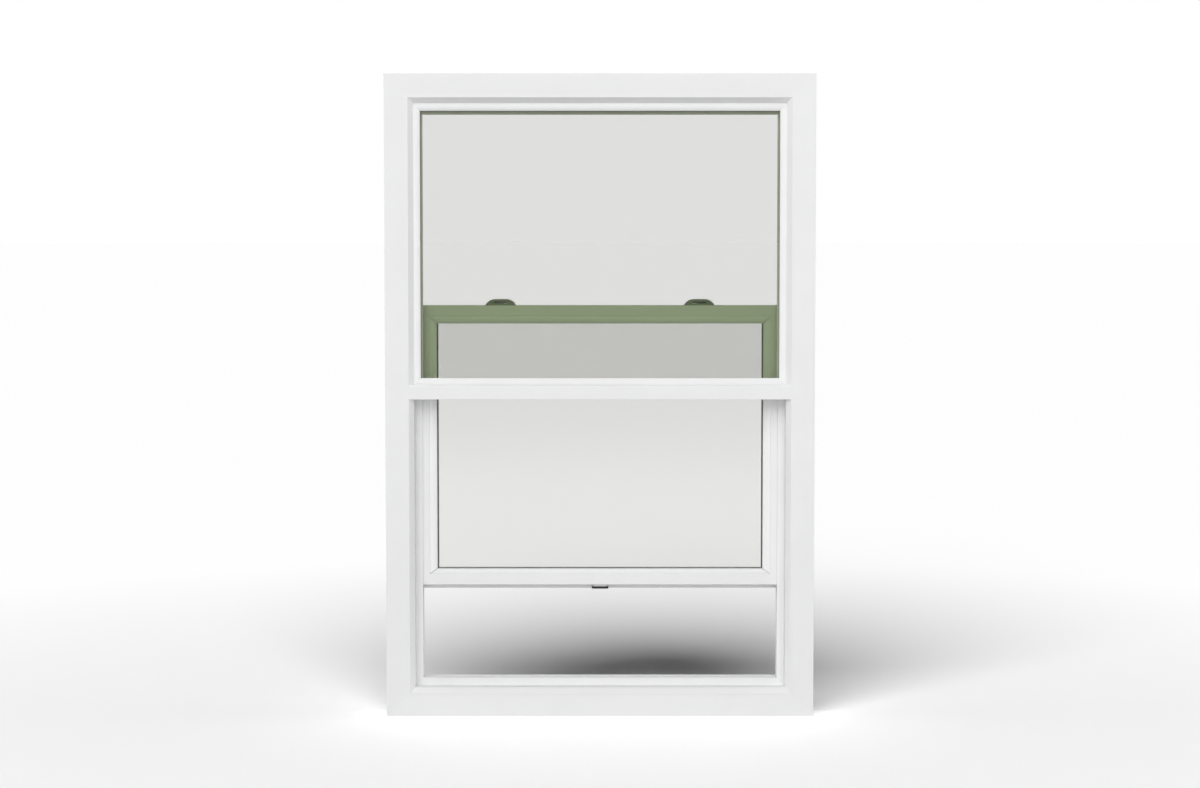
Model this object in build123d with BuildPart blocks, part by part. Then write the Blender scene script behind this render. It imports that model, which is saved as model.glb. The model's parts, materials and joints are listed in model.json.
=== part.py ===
from build123d import *
import os
from math import cos, radians, sin, sqrt

os.makedirs("parts", exist_ok=True)

# Single-hung vinyl sash window. Millimetres, +Z up, the outside faces -Y.
# The origin is the centre of the sill's underside. A section's u runs in from the outer edge of
# a frame or sash, and its d runs back from the frame's front plane.

# Overall size of the frame
frame_width = 914.4
frame_height = 1371.6
frame_depth = 83.0
overrun = 6.0

# Frame extrusion
outer_flat = 17.0
dish_slope = 22.0
face_width = 50.0
dish_depth = 1.8
lip_depth = 0.8
bevel_width = 11.0
glazing_leg = 15.5
leg_thickness = 3.0
track_depth = 9.5
back_lip = 3.5
frame_wall = 2.4
frame_web = 1.8
web_place = 25.1
accessory_front = 14.0
accessory_width = 6.0
accessory_depth = 5.0

# Balance channel in the jambs
channel_width = 19.0
channel_depth = 24.0
balance_setback = 16.5

# Installation screw holes in the jamb tracks
fixing_radius = 2.2
fixing_low = 120.0
fixing_top_gap = 221.6

# Meeting rail
meeting_drop = 4.8
meeting_face = 28.0
meeting_chamfer = 2.8
meeting_leg = 11.5
meeting_leg_root = 5.0
meeting_overlap = 6.0
pile_groove_place = 1.6
pile_width = 5.0
pile_groove_depth = 3.0
pile_gap = 0.4

# Upper glazing
upper_bead_width = 14.0
upper_bead_step = 0.6
upper_top_reveal = 3.4
upper_top_lip_step = 2.0
upper_bead_depth_share = 0.365
upper_bead_crown_shares = (0.53, 0.04)
upper_bead_side_share = 0.36
bead_wall = 1.5
pane_thickness = 3.0
upper_tape_thickness = 1.5
upper_edge_gap = 3.0
upper_spacer_side_sight = 4.5
upper_spacer_top_sight = 7.6
upper_spacer_bottom_sight = -1.5
spacer_width = 7.0
tape_inset = 0.7
tape_width = 4.8
setting_block_length = 100.0
setting_block_place_share = 0.5

# Sash extrusion, and how far the sash stands open
sash_lift = 192.6
sash_depth = 30.5
sash_depth_gap = 1.0
sash_side_gap = 1.5
sash_face = 23.2
sash_face_chamfer = 0.9
sash_leg = 15.2
sash_bottom_leg = 8.0
sash_leg_thickness = 3.5
sash_wall = 2.2
sash_chamber_front = 5.5
stile_pile_place = 1.5
stile_pile_gap = 0.3
lift_lip_reach = 10.0
lift_lip_thickness = 3.0
lift_lip_height = 26.0
lift_lip_hook = 4.0
lift_lip_end_gap = 16.0

# Sash glazing
sash_bead_width = 15.6
sash_bottom_bead_width = 11.0
sash_bead_front = 0.9
sash_bead_crown_shares = (0.53, 0.05)
sash_bead_side_share = 0.48
sash_glass_setback = 9.0
sash_tape_thickness = 1.5
sash_edge_gap = 2.7
sash_spacer_side_sight = 2.7
sash_spacer_top_sight = -0.3
sash_spacer_bottom_sight = 1.1

# Sill track insert, bumper and bottom seal
insert_height = 8.2
insert_wall = 2.0
insert_side_gap = 0.5
insert_end_gap = 0.5
seat_gap = 0.3
bumper_length = 36.0
bumper_width = 8.0
bumper_height = 4.6
bumper_setback = 12.0
carrier_length = 30.0
carrier_width = 7.0
carrier_height = 5.5
seal_width = 8.0
seal_wall = 1.3
seal_setback = 24.0
seal_end_gap = 1.5

# Cam locks and keepers
lock_offset = 213.0
lock_setback = 14.0
housing_length = 66.0
housing_width = 22.0
housing_height = 13.0
housing_flat = 23.0
housing_chamfer = 1.8
hub_radius = 7.0
tip_radius = 3.0
lever_reach = 25.0
lever_angle = 45.0
cam_tip_gap = 0.4
lock_gap = 0.3
lever_thickness = 3.7
cam_thickness = 3.7
spindle_radius = 2.5
spindle_top = 11.0
bore_gap = 0.1
lock_screw_inset = 5.0
lock_screw_seat = 2.4
lever_opening = 37.0
keeper_length = 60.0
keeper_height = 14.0
keeper_thickness = 3.0
keeper_ear = 0.8
keeper_body_length = 44.0
keeper_slot_length = 38.0
keeper_slot_height = 5.2
keeper_slot_place = 5.5
keeper_rise = 0.7
keeper_screw_place = 26.0

# Screws
screw_head_radius = 3.0
screw_head_height = 2.2
screw_shank_radius = 1.6
screw_length = 11.0
screw_clearance = 0.1
screw_head_gap = 0.3
screw_head_sides = 12
screw_shank_sides = 8

# Spiral balances
tube_radius = 8.0
tube_wall = 1.0
tube_lip = 2.0
tube_lip_bore = 4.6
tube_spare = 27.0
rod_width = 6.0
rod_thickness = 1.6
rod_pitch = 75.0
rod_steps_per_turn = 9
rod_keep = 17.0
rod_socket = 12.0
rod_socket_radius = 3.3
bushing_height = 5.0
bushing_gap = 0.3
bushing_slot_length = 7.0
bushing_slot_width = 3.8
shoe_lift = 12.0
shoe_height = 40.0
shoe_width = 15.0
shoe_reach = 21.0
shoe_gap = 4.0
shoe_screw_places_shares = (0.2, 0.42)
shoe_screw_seat = 5.0
shoe_pocket = 7.0
cap_height = 14.0
cap_width = 16.0
cap_side = 20.0
cap_spigot = 8.0
stop_height = 20.0
stop_head_gap = 26.8
stop_thickness = 8.6

# Places worked out from the sizes above
front_y = -frame_depth / 2
half_width = frame_width / 2
rebate_wall = face_width + bevel_width
leg_tip = rebate_wall + glazing_leg
track_floor = leg_tip - track_depth
track_back = frame_depth - back_lip
sash_back = track_back - sash_depth_gap
sash_front = sash_back - sash_depth
track_front = sash_front - sash_depth_gap
leg_front = track_front - leg_thickness
balance_depth = track_front + balance_setback
channel_floor = track_floor - channel_depth
channel_front = balance_depth - channel_width / 2
channel_back = balance_depth + channel_width / 2
fixing_depth = (channel_back + track_back) / 2
fixing_high = frame_height - fixing_top_gap

meeting_bottom = frame_height / 2 - meeting_drop
upper_floor = meeting_bottom + meeting_face + meeting_chamfer
upper_width = frame_width - 2 * rebate_wall
upper_height = frame_height - rebate_wall - upper_floor
upper_beads_height = upper_height - upper_top_reveal
upper_beads_middle = upper_floor + upper_beads_height / 2
bevel_back = lip_depth + bevel_width
upper_glass_back = leg_front - upper_tape_thickness
upper_glass_front = bevel_back + (upper_glass_back - bevel_back) * upper_bead_depth_share
upper_glass_depth = upper_glass_back - upper_glass_front

sash_width = frame_width - 2 * (track_floor + sash_side_gap)
sash_half = sash_width / 2
insert_top = track_floor + insert_height
sash_bottom = insert_top + seat_gap + bumper_height + carrier_height + sash_lift
sash_top = meeting_bottom + meeting_overlap + sash_lift
sash_height = sash_top - sash_bottom
sash_middle = (sash_top + sash_bottom) / 2
sash_leg_front = sash_back - sash_leg_thickness
sash_glass_front = sash_front + sash_glass_setback
sash_glass_depth = sash_leg_front - sash_tape_thickness - sash_glass_front
sash_lite_width = sash_width - 2 * sash_face
sash_lite_height = sash_height - 2 * sash_face
sash_bottom_bead_share = sash_bottom_bead_width / sash_bead_width

stop_bottom = frame_height - leg_tip - stop_head_gap - stop_height
sash_rise = stop_bottom - seat_gap - sash_top
travel = sash_lift + sash_rise

lock_depth = sash_front + lock_setback
lock_screw_place = housing_length / 2 - lock_screw_inset
cam_reach = lock_depth - leg_front - cam_tip_gap
keeper_bottom = meeting_overlap + keeper_rise

shoe_bottom = sash_bottom + shoe_lift
shoe_top = shoe_bottom + shoe_height
tube_bottom = shoe_top + sash_rise + shoe_gap
tube_length = travel + tube_spare
tube_top = tube_bottom + tube_length
balance_x = half_width - (track_floor + channel_floor) / 2

sides = ("left", "right", "top", "bottom")
hands = (("left", -1), ("right", 1))
inward_ways = {
    "left": Vector(1, 0, 0),
    "right": Vector(-1, 0, 0),
    "top": Vector(0, 0, -1),
    "bottom": Vector(0, 0, 1),
}


def keep(piece, name):
    """Label a finished piece and write its STEP file."""
    piece.label = name
    export_step(piece, f"parts/{name}.step")


def depth_plane(depth, height):
    """Upright plane facing outside, at a depth behind the frame's front and a height."""
    return Plane(origin=(0, front_y + depth, height), x_dir=(1, 0, 0), z_dir=(0, -1, 0))


def side_plane(side, width, height, middle):
    """Section plane of one side of a rectangle: x runs inwards and y runs back."""
    inward = inward_ways[side]
    origin = Vector(-inward.X * width / 2, front_y, middle - inward.Z * height / 2)
    return Plane(origin=origin, x_dir=inward, z_dir=inward.cross(Vector(0, 1, 0)))


def mitred_side(section, side, width, height, middle, reach, bottom_share=1):
    """Extrude a section along one side of a rectangle and mitre both ends.

    The mitres are at 45 degrees, or slanted to suit a bottom side that is a share as wide as the rest.
    """
    plane = side_plane(side, width, height, middle)
    half_length = (height if side in ("left", "right") else width) / 2
    far = reach + overrun
    low_cut = far * bottom_share
    first_cut, last_cut = {
        "left": (far, low_cut), "right": (low_cut, far), "top": (far, far),
        "bottom": (far / bottom_share, far / bottom_share),
    }[side]
    with BuildSketch(plane) as profile:
        section()
    extrude(profile.sketch, amount=half_length, both=True)
    with BuildSketch(Plane(origin=plane.origin, x_dir=plane.x_dir, z_dir=(0, 1, 0))) as mitre:
        polygon([
            (0, -half_length), (0, half_length), (far, half_length - last_cut),
            (far, first_cut - half_length),
        ])
    extrude(mitre.sketch, amount=2 * frame_depth, both=True, mode=Mode.INTERSECT)


def polygon(points, mode=Mode.ADD):
    """Face bounded by straight edges."""
    with BuildLine() as outline:
        Polyline(*points, close=True)
    make_face(outline.edges(), mode=mode)


def chamber(low, high):
    """Rectangular hollow between two corners of a section."""
    middle = ((low[0] + high[0]) / 2, (low[1] + high[1]) / 2)
    with Locations(middle):
        Rectangle(high[0] - low[0], high[1] - low[1], mode=Mode.SUBTRACT)


def flat_ring(outer, inner, depth, thickness):
    """Upright ring between two rectangles, each a width, bottom and top, from a depth backwards."""
    with BuildSketch(depth_plane(depth, 0)) as ring:
        for (width, bottom, top), mode in ((outer, Mode.ADD), (inner, Mode.SUBTRACT)):
            with Locations((0, (bottom + top) / 2)):
                Rectangle(width, top - bottom, mode=mode)
    extrude(ring.sketch, amount=-thickness)


def grown(rectangle, border):
    """Rectangle of a width, bottom and top, made larger by a border on each side."""
    width, bottom, top = rectangle
    return width + 2 * border, bottom - border, top + border


def pane(width, height, depth, middle):
    """One sheet of glass."""
    with BuildSketch(depth_plane(depth, middle)) as sheet:
        Rectangle(width, height)
    extrude(sheet.sketch, amount=-pane_thickness)


def screws(seats, length):
    """Screws with the undersides of their heads on the seats, and their shanks behind them."""
    with BuildSketch(*seats) as heads:
        RegularPolygon(screw_head_radius, screw_head_sides)
    extrude(heads.sketch, amount=screw_head_height)
    with BuildSketch(*seats) as shanks:
        RegularPolygon(screw_shank_radius, screw_shank_sides)
    extrude(shanks.sketch, amount=-length)


def screw_holes(seats, length):
    """Clearance holes for the screws' shanks, behind the seats."""
    with BuildSketch(*seats) as holes:
        RegularPolygon(screw_shank_radius + screw_clearance, screw_shank_sides)
    extrude(holes.sketch, amount=-(length + screw_clearance), mode=Mode.SUBTRACT)


def screw_pockets(seats, height):
    """Pockets for the screws' heads, in front of the seats."""
    with BuildSketch(*seats) as pockets:
        RegularPolygon(screw_head_radius + screw_head_gap, screw_head_sides)
    extrude(pockets.sketch, amount=height, mode=Mode.SUBTRACT)


# Frame sides
def frame_outline(channel):
    """Outer line of the frame extrusion, with the balance channel on the jambs."""
    points = [
        (0, 0), (outer_flat, 0), (outer_flat + dish_slope, dish_depth), (face_width, lip_depth),
        (rebate_wall, bevel_back), (rebate_wall, leg_front), (leg_tip, leg_front),
        (leg_tip, track_front), (track_floor, track_front),
    ]
    if channel:
        points += [
            (track_floor, channel_front), (channel_floor, channel_front),
            (channel_floor, channel_back), (track_floor, channel_back),
        ]
    points += [
        (track_floor, track_back), (leg_tip, track_back), (leg_tip, frame_depth), (0, frame_depth),
        (0, accessory_front + accessory_width), (accessory_depth, accessory_front + accessory_width),
        (accessory_depth, accessory_front), (0, accessory_front),
    ]
    return points


def frame_section(channel):
    """Hollow frame extrusion with webs between its chambers."""
    skin = dish_depth + frame_wall
    near_web = web_place - frame_web / 2
    far_web = web_place + frame_web / 2
    groove_back = accessory_front + accessory_width
    bevel_line = face_width - lip_depth - frame_wall * sqrt(2)
    inner = rebate_wall - frame_wall
    back = frame_depth - frame_wall
    polygon(frame_outline(channel))
    chamber((accessory_depth + frame_wall, skin), (near_web, groove_back))
    chamber((frame_wall, groove_back + frame_wall), (near_web, leg_front))
    polygon(
        [(far_web, skin), (bevel_line + skin, skin), (inner, inner - bevel_line),
         (inner, leg_front), (far_web, leg_front)],
        Mode.SUBTRACT,
    )
    chamber((frame_wall, track_front), (channel_floor - frame_wall, back))
    chamber((channel_floor, track_front), (track_floor - frame_wall, channel_front - frame_wall))
    if not channel:
        chamber((channel_floor, channel_front), (track_floor - frame_wall, back))


def cap_place(hand):
    """Seat of a balance cap's screw, on the cap's face towards the sash."""
    x = hand * (half_width - channel_floor - cap_side)
    z = tube_top + cap_height / 2
    return Plane(origin=(x, front_y + balance_depth, z), x_dir=(0, 1, 0), z_dir=(-hand, 0, 0))


for name, side in (("head", "top"), ("sill", "bottom")):
    with BuildPart() as rail:
        mitred_side(
            lambda: frame_section(False), side, frame_width, frame_height, frame_height / 2, leg_tip
        )
    keep(rail.part, name)

for side, hand in hands:
    with BuildPart() as jamb:
        mitred_side(
            lambda: frame_section(True), side, frame_width, frame_height, frame_height / 2, leg_tip
        )
        for height in (fixing_low, fixing_high):
            with Locations((hand * half_width, front_y + fixing_depth, height)):
                Cylinder(fixing_radius, 2 * leg_tip, rotation=(0, 90, 0), mode=Mode.SUBTRACT)
        screw_holes([cap_place(hand)], cap_side + screw_length)
    keep(jamb.part, f"{side}_jamb")


# Meeting rail, coped to the jambs, with its pile seal
def meeting_section():
    """Hollow rail with a glazing leg above and a pile groove in its inside face."""
    floor = meeting_face + meeting_chamfer
    groove_top = pile_groove_place + pile_width
    groove_floor = leg_front - pile_groove_depth
    polygon([
        (0, lip_depth), (meeting_face, lip_depth), (floor, lip_depth + meeting_chamfer),
        (floor, leg_front), (floor + meeting_leg, leg_front), (floor + meeting_leg, track_front),
        (floor - meeting_leg_root, track_front), (floor - meeting_leg_root, leg_front),
        (groove_top, leg_front), (groove_top, groove_floor), (pile_groove_place, groove_floor),
        (pile_groove_place, leg_front), (0, leg_front),
    ])
    chamber(
        (frame_wall, lip_depth + meeting_chamfer + frame_wall),
        (floor - frame_wall, groove_floor - frame_wall),
    )


def keeper_screw_planes():
    """Seats of the keepers' screws, facing the room."""
    height = meeting_bottom + keeper_bottom + keeper_height / 2
    depth = front_y + leg_front + keeper_ear
    return [
        Plane(origin=(hand * lock_offset + way * keeper_screw_place, depth, height), z_dir=(0, 1, 0))
        for _, hand in hands
        for way in (-1, 1)
    ]


with BuildPart() as meeting_rail:
    with BuildSketch(Plane(origin=(0, front_y, meeting_bottom), x_dir=(0, 0, 1), z_dir=(-1, 0, 0))):
        meeting_section()
    extrude(amount=half_width - face_width, both=True)
    for side, hand in hands:
        with BuildSketch(side_plane(side, frame_width, frame_height, frame_height / 2)):
            polygon(frame_outline(True))
        extrude(amount=frame_height / 2, both=True, mode=Mode.SUBTRACT)
    screw_holes(keeper_screw_planes(), screw_length)
keep(meeting_rail.part, "meeting_rail")

with BuildPart() as meeting_rail_pile:
    pile_back = sash_front - pile_gap
    with BuildSketch(depth_plane(pile_back, meeting_bottom + pile_groove_place + pile_width / 2)):
        Rectangle(2 * (half_width - leg_tip), pile_width)
    extrude(amount=pile_back - leg_front + pile_groove_depth)
keep(meeting_rail_pile.part, "meeting_rail_pile")


# Upper glazing
def bead_section(width, front, back, crown_shares, side_share):
    """Hollow bead: a convex face from the rebate wall, then a straight side down to the glass."""
    depth = back - front
    crown = (width * crown_shares[0], front + depth * crown_shares[1])
    shoulder = (width, front + depth * side_share)
    inner_front = crown[1] + bead_wall
    inner_back = back - bead_wall
    inner_side = width - bead_wall
    with BuildLine() as outline:
        ThreePointArc((0, front), crown, shoulder)
        Polyline(shoulder, (width, back), (0, back), (0, front))
    make_face(outline.edges())
    polygon(
        [(bead_wall, inner_front), (crown[0], inner_front), (inner_side, shoulder[1] + bead_wall),
         (inner_side, inner_back), (bead_wall, inner_back)],
        Mode.SUBTRACT,
    )


def upper_bead_section():
    bead_section(
        upper_bead_width, bevel_back + upper_bead_step, upper_glass_front,
        upper_bead_crown_shares, upper_bead_side_share,
    )


for side in sides:
    with BuildPart() as bead:
        mitred_side(
            upper_bead_section, side, upper_width, upper_beads_height, upper_beads_middle,
            upper_bead_width,
        )
        if side == "top":
            # Lip that fills the reveal between the bead and the head
            lip_front = bevel_back + upper_bead_step + upper_top_lip_step
            lip_middle = upper_floor + upper_height - upper_top_reveal / 2
            with BuildSketch(depth_plane(lip_front, lip_middle)):
                Rectangle(upper_width, upper_top_reveal)
            extrude(amount=lip_front - upper_glass_front)
    keep(bead.part, f"upper_bead_{side}")


def glazing_unit(name, outline, sight, front, thickness, tape_thickness):
    """Two panes, spacer bar round the sight line, edge seal and the tape behind them."""
    width, bottom, top = outline
    height = top - bottom
    middle = (bottom + top) / 2
    gap = thickness - 2 * pane_thickness
    spacer_front = front + pane_thickness
    with BuildPart() as outer_pane:
        pane(width, height, front, middle)
    keep(outer_pane.part, f"{name}_outer_pane")
    with BuildPart() as inner_pane:
        pane(width, height, spacer_front + gap, middle)
    keep(inner_pane.part, f"{name}_inner_pane")
    with BuildPart() as edge_seal:
        flat_ring(outline, grown(sight, spacer_width), spacer_front, gap)
    keep(edge_seal.part, f"{name}_edge_seal")
    with BuildPart() as spacer:
        flat_ring(grown(sight, spacer_width), sight, spacer_front, gap)
    keep(spacer.part, f"{name}_spacer")
    with BuildPart() as tape:
        tape_outline = grown(outline, -tape_inset)
        flat_ring(tape_outline, grown(tape_outline, -tape_width), front + thickness, tape_thickness)
    keep(tape.part, f"{name}_glazing_tape")


def setting_blocks(name, width, floor, front, thickness, edge_gap):
    """Two blocks that carry the glass on the floor of its rebate."""
    place = width / 2 * setting_block_place_share
    with BuildPart() as blocks:
        with BuildSketch(depth_plane(front, floor + edge_gap / 2)):
            with Locations((-place, 0), (place, 0)):
                Rectangle(setting_block_length, edge_gap)
        extrude(amount=-thickness)
    keep(blocks.part, f"{name}_setting_blocks")


upper_opening = (upper_width, upper_floor, upper_floor + upper_height)
upper_sight = (
    upper_width - 2 * (upper_bead_width + upper_spacer_side_sight),
    upper_floor + upper_bead_width + upper_spacer_bottom_sight,
    upper_floor + upper_beads_height - upper_bead_width - upper_spacer_top_sight,
)
glazing_unit(
    "upper", grown(upper_opening, -upper_edge_gap), upper_sight,
    upper_glass_front, upper_glass_depth, upper_tape_thickness,
)
setting_blocks(
    "upper", upper_width, upper_floor, upper_glass_front, upper_glass_depth, upper_edge_gap
)


# Sash members
def sash_section(leg, piled=False):
    """Hollow sash extrusion with its glazing leg, and pile grooves on the stiles."""
    pile_end = stile_pile_place + pile_width
    groove = [
        (stile_pile_place, sash_front), (stile_pile_place, sash_front + pile_groove_depth),
        (pile_end, sash_front + pile_groove_depth), (pile_end, sash_front),
    ]
    polygon([
        (0, sash_front), *(groove if piled else []), (sash_face - sash_face_chamfer, sash_front),
        (sash_face, sash_front + sash_face_chamfer), (sash_face, sash_leg_front),
        (sash_face + leg, sash_leg_front), (sash_face + leg, sash_back), (0, sash_back),
    ])
    chamber(
        (sash_wall, sash_front + sash_chamber_front), (sash_face - sash_wall, sash_back - sash_wall)
    )


def lock_screw_planes(hand):
    """Seats of one lock housing's screws, facing up."""
    return [
        Plane(origin=(
            hand * lock_offset + way * lock_screw_place, front_y + lock_depth,
            sash_top + lock_screw_seat,
        ))
        for way in (-1, 1)
    ]


def shoe_screw_planes(hand):
    """Seats of one balance shoe's screws, facing away from the sash."""
    x = hand * (sash_half + shoe_screw_seat)
    return [
        Plane(
            origin=(x, front_y + balance_depth, shoe_bottom + shoe_height * share),
            x_dir=(0, 1, 0), z_dir=(hand, 0, 0),
        )
        for share in shoe_screw_places_shares
    ]


with BuildPart() as top_rail:
    mitred_side(
        lambda: sash_section(sash_leg), "top", sash_width, sash_height, sash_middle,
        sash_face + sash_leg,
    )
    for _, hand in hands:
        screw_holes(lock_screw_planes(hand), screw_length)
keep(top_rail.part, "top_rail")

with BuildPart() as bottom_rail:
    mitred_side(
        lambda: sash_section(sash_bottom_leg), "bottom", sash_width, sash_height, sash_middle,
        sash_face + sash_bottom_leg,
    )
    # Finger lip along the inside of the rail
    with BuildSketch(side_plane("bottom", sash_width, sash_height, sash_middle)):
        lip_low = lift_lip_height - lift_lip_thickness
        polygon([
            (lip_low, sash_back), (lift_lip_height, sash_back),
            (lift_lip_height, sash_back + lift_lip_reach),
            (lip_low - lift_lip_hook, sash_back + lift_lip_reach),
            (lip_low - lift_lip_hook, sash_back + lift_lip_reach - lift_lip_thickness),
            (lip_low, sash_back + lift_lip_reach - lift_lip_thickness),
        ])
    extrude(amount=half_width - leg_tip - lift_lip_end_gap, both=True)
keep(bottom_rail.part, "bottom_rail")

for side, hand in hands:
    with BuildPart() as stile:
        mitred_side(
            lambda: sash_section(sash_leg, piled=True), side, sash_width, sash_height, sash_middle,
            sash_face + sash_leg,
        )
        screw_holes(shoe_screw_planes(hand), screw_length)
    keep(stile.part, f"{side}_stile")

with BuildPart() as stile_piles:
    pile_front = track_front + stile_pile_gap
    pile_x = sash_half - stile_pile_place - pile_width / 2
    pile_length = sash_height - 2 * (stile_pile_place + pile_width)
    with BuildSketch(depth_plane(pile_front, sash_middle)):
        with Locations((-pile_x, 0), (pile_x, 0)):
            Rectangle(pile_width, pile_length)
    extrude(amount=-(sash_front + pile_groove_depth - pile_front))
keep(stile_piles.part, "stile_piles")


# Sash glazing
def sash_bead_section(width):
    bead_section(
        width, sash_front + sash_bead_front, sash_glass_front,
        sash_bead_crown_shares, sash_bead_side_share,
    )


for side in sides:
    bead_width = sash_bottom_bead_width if side == "bottom" else sash_bead_width
    with BuildPart() as bead:
        mitred_side(
            lambda: sash_bead_section(bead_width), side, sash_lite_width, sash_lite_height,
            sash_middle, bead_width, sash_bottom_bead_share,
        )
    keep(bead.part, f"sash_bead_{side}")

sash_opening = (sash_lite_width, sash_bottom + sash_face, sash_top - sash_face)
sash_sight = (
    sash_lite_width - 2 * (sash_bead_width + sash_spacer_side_sight),
    sash_bottom + sash_face + sash_bottom_bead_width + sash_spacer_bottom_sight,
    sash_top - sash_face - sash_bead_width - sash_spacer_top_sight,
)
glazing_unit(
    "sash", grown(sash_opening, -sash_edge_gap), sash_sight,
    sash_glass_front, sash_glass_depth, sash_tape_thickness,
)
setting_blocks(
    "sash", sash_lite_width, sash_bottom + sash_face, sash_glass_front, sash_glass_depth,
    sash_edge_gap,
)

# Sill track insert, bumper and bottom seal
with BuildPart() as sill_insert:
    with BuildSketch(Plane(origin=(0, front_y, track_floor), x_dir=(0, 0, 1), z_dir=(-1, 0, 0))):
        insert_front = track_front + insert_side_gap
        insert_back = track_back - insert_side_gap
        with Locations((insert_height / 2, (insert_front + insert_back) / 2)):
            Rectangle(insert_height, insert_back - insert_front)
        chamber(
            (0, insert_front + insert_wall), (insert_height - insert_wall, insert_back - insert_wall)
        )
    extrude(amount=half_width - track_floor - insert_end_gap, both=True)
keep(sill_insert.part, "sill_insert")

with BuildPart() as bumper_carrier:
    with BuildSketch(Plane(origin=(0, front_y + sash_front + bumper_setback, sash_bottom))):
        SlotOverall(carrier_length, carrier_width)
    extrude(amount=-carrier_height)
keep(bumper_carrier.part, "bumper_carrier")

with BuildPart() as bumper:
    with BuildSketch(Plane(origin=(0, front_y + sash_front + bumper_setback, sash_bottom - carrier_height))):
        SlotOverall(bumper_length, bumper_width)
    extrude(amount=-bumper_height)
keep(bumper.part, "bumper")

with BuildPart() as bottom_seal:
    seal_height = carrier_height + bumper_height
    bulb_radius = seal_width / 2
    core_radius = bulb_radius - seal_wall
    seal_line = Vector(0, front_y + sash_front + seal_setback, sash_bottom)
    with BuildSketch(Plane(origin=seal_line, x_dir=(0, 1, 0), z_dir=(1, 0, 0))):
        with Locations((0, -(seal_height - bulb_radius) / 2)):
            Rectangle(seal_width, seal_height - bulb_radius)
        with Locations((0, bulb_radius - seal_height)):
            Circle(bulb_radius)
            Circle(core_radius, mode=Mode.SUBTRACT)
    extrude(amount=sash_half - seal_end_gap, both=True)
keep(bottom_seal.part, "bottom_seal")

# Cam locks and keepers
for side, hand in hands:
    lock_base = Plane(origin=(hand * lock_offset, front_y + lock_depth, sash_top))
    cam_low = 2 * lock_gap + lever_thickness
    cam_high = cam_low + cam_thickness
    lever_way = Vector(hand * cos(radians(lever_angle)), sin(radians(lever_angle)), 0)

    with BuildPart() as housing:
        with BuildSketch(Plane(origin=lock_base.origin, x_dir=(1, 0, 0), z_dir=(0, -1, 0))):
            with BuildLine():
                TangentArc((housing_flat / 2, housing_height), (housing_length / 2, 0), tangent=(1, 0))
                TangentArc((-housing_flat / 2, housing_height), (-housing_length / 2, 0), tangent=(-1, 0))
                Line((housing_flat / 2, housing_height), (-housing_flat / 2, housing_height))
                Line((-housing_length / 2, 0), (housing_length / 2, 0))
            make_face()
        extrude(amount=housing_width / 2, both=True)
        ends = housing.faces().sort_by(Axis.Y)
        rims = ends[0].edges() + ends[-1].edges()
        low_rims = rims.filter_by_position(Axis.Z, sash_top, sash_top)
        chamfer([rim for rim in rims if rim not in low_rims], housing_chamfer)
        with Locations(lock_base):
            Cylinder(
                hub_radius + lock_gap, cam_high + lock_gap,
                align=(Align.CENTER, Align.CENTER, Align.MIN), mode=Mode.SUBTRACT,
            )
            Cylinder(
                spindle_radius + lock_gap, spindle_top + lock_gap,
                align=(Align.CENTER, Align.CENTER, Align.MIN), mode=Mode.SUBTRACT,
            )
        with Locations(lock_base.origin - Vector(0, hub_radius, 0)):
            Box(
                lever_opening, housing_width, cam_low, mode=Mode.SUBTRACT,
                align=(Align.CENTER, Align.MIN, Align.MIN),
            )
        with Locations(lock_base.offset(cam_low - lock_gap)):
            Cylinder(
                cam_reach + lock_gap, cam_thickness + 2 * lock_gap,
                align=(Align.CENTER, Align.CENTER, Align.MIN), mode=Mode.SUBTRACT,
            )
        screw_holes(lock_screw_planes(hand), lock_screw_seat)
        screw_pockets(lock_screw_planes(hand), housing_height)
    keep(housing.part, f"{side}_lock_housing")

    with BuildPart() as lever:
        with BuildSketch(lock_base.offset(lock_gap)):
            Circle(hub_radius)
            with Locations(lever_way * (lever_reach - tip_radius)):
                Circle(tip_radius)
            make_hull()
            Circle(spindle_radius + bore_gap, mode=Mode.SUBTRACT)
        extrude(amount=lever_thickness)
    keep(lever.part, f"{side}_lock_lever")

    with BuildPart() as cam:
        with BuildSketch(lock_base.offset(cam_low)):
            Circle(hub_radius)
            with Locations((-hand * (cam_reach - tip_radius), 0)):
                Circle(tip_radius)
            make_hull()
        extrude(amount=cam_thickness)
        with BuildSketch(lock_base.offset(lock_gap)):
            Circle(spindle_radius)
        extrude(amount=spindle_top - lock_gap)
    keep(cam.part, f"{side}_lock_cam")

    with BuildPart() as keeper:
        keeper_middle = meeting_bottom + keeper_bottom + keeper_height / 2
        keeper_plane = depth_plane(leg_front, keeper_middle)
        keeper_plane.origin += Vector(hand * lock_offset, 0, 0)
        with BuildSketch(keeper_plane):
            Rectangle(keeper_length, keeper_height)
            with Locations((-keeper_screw_place, 0), (keeper_screw_place, 0)):
                RegularPolygon(
                    screw_shank_radius + screw_clearance, screw_shank_sides, mode=Mode.SUBTRACT
                )
        extrude(amount=-keeper_ear)
        with BuildSketch(keeper_plane):
            Rectangle(keeper_body_length, keeper_height)
        extrude(amount=-keeper_thickness)
        with BuildSketch(keeper_plane):
            with Locations((0, keeper_slot_place - keeper_height / 2)):
                Rectangle(keeper_slot_length, keeper_slot_height)
        extrude(amount=-keeper_thickness, mode=Mode.SUBTRACT)
    keep(keeper.part, f"{side}_keeper")

with BuildPart() as lock_screws:
    screws([plane for _, hand in hands for plane in lock_screw_planes(hand)], screw_length)
keep(lock_screws.part, "lock_screws")

with BuildPart() as keeper_screws:
    screws(keeper_screw_planes(), screw_length)
keep(keeper_screws.part, "keeper_screws")

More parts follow.
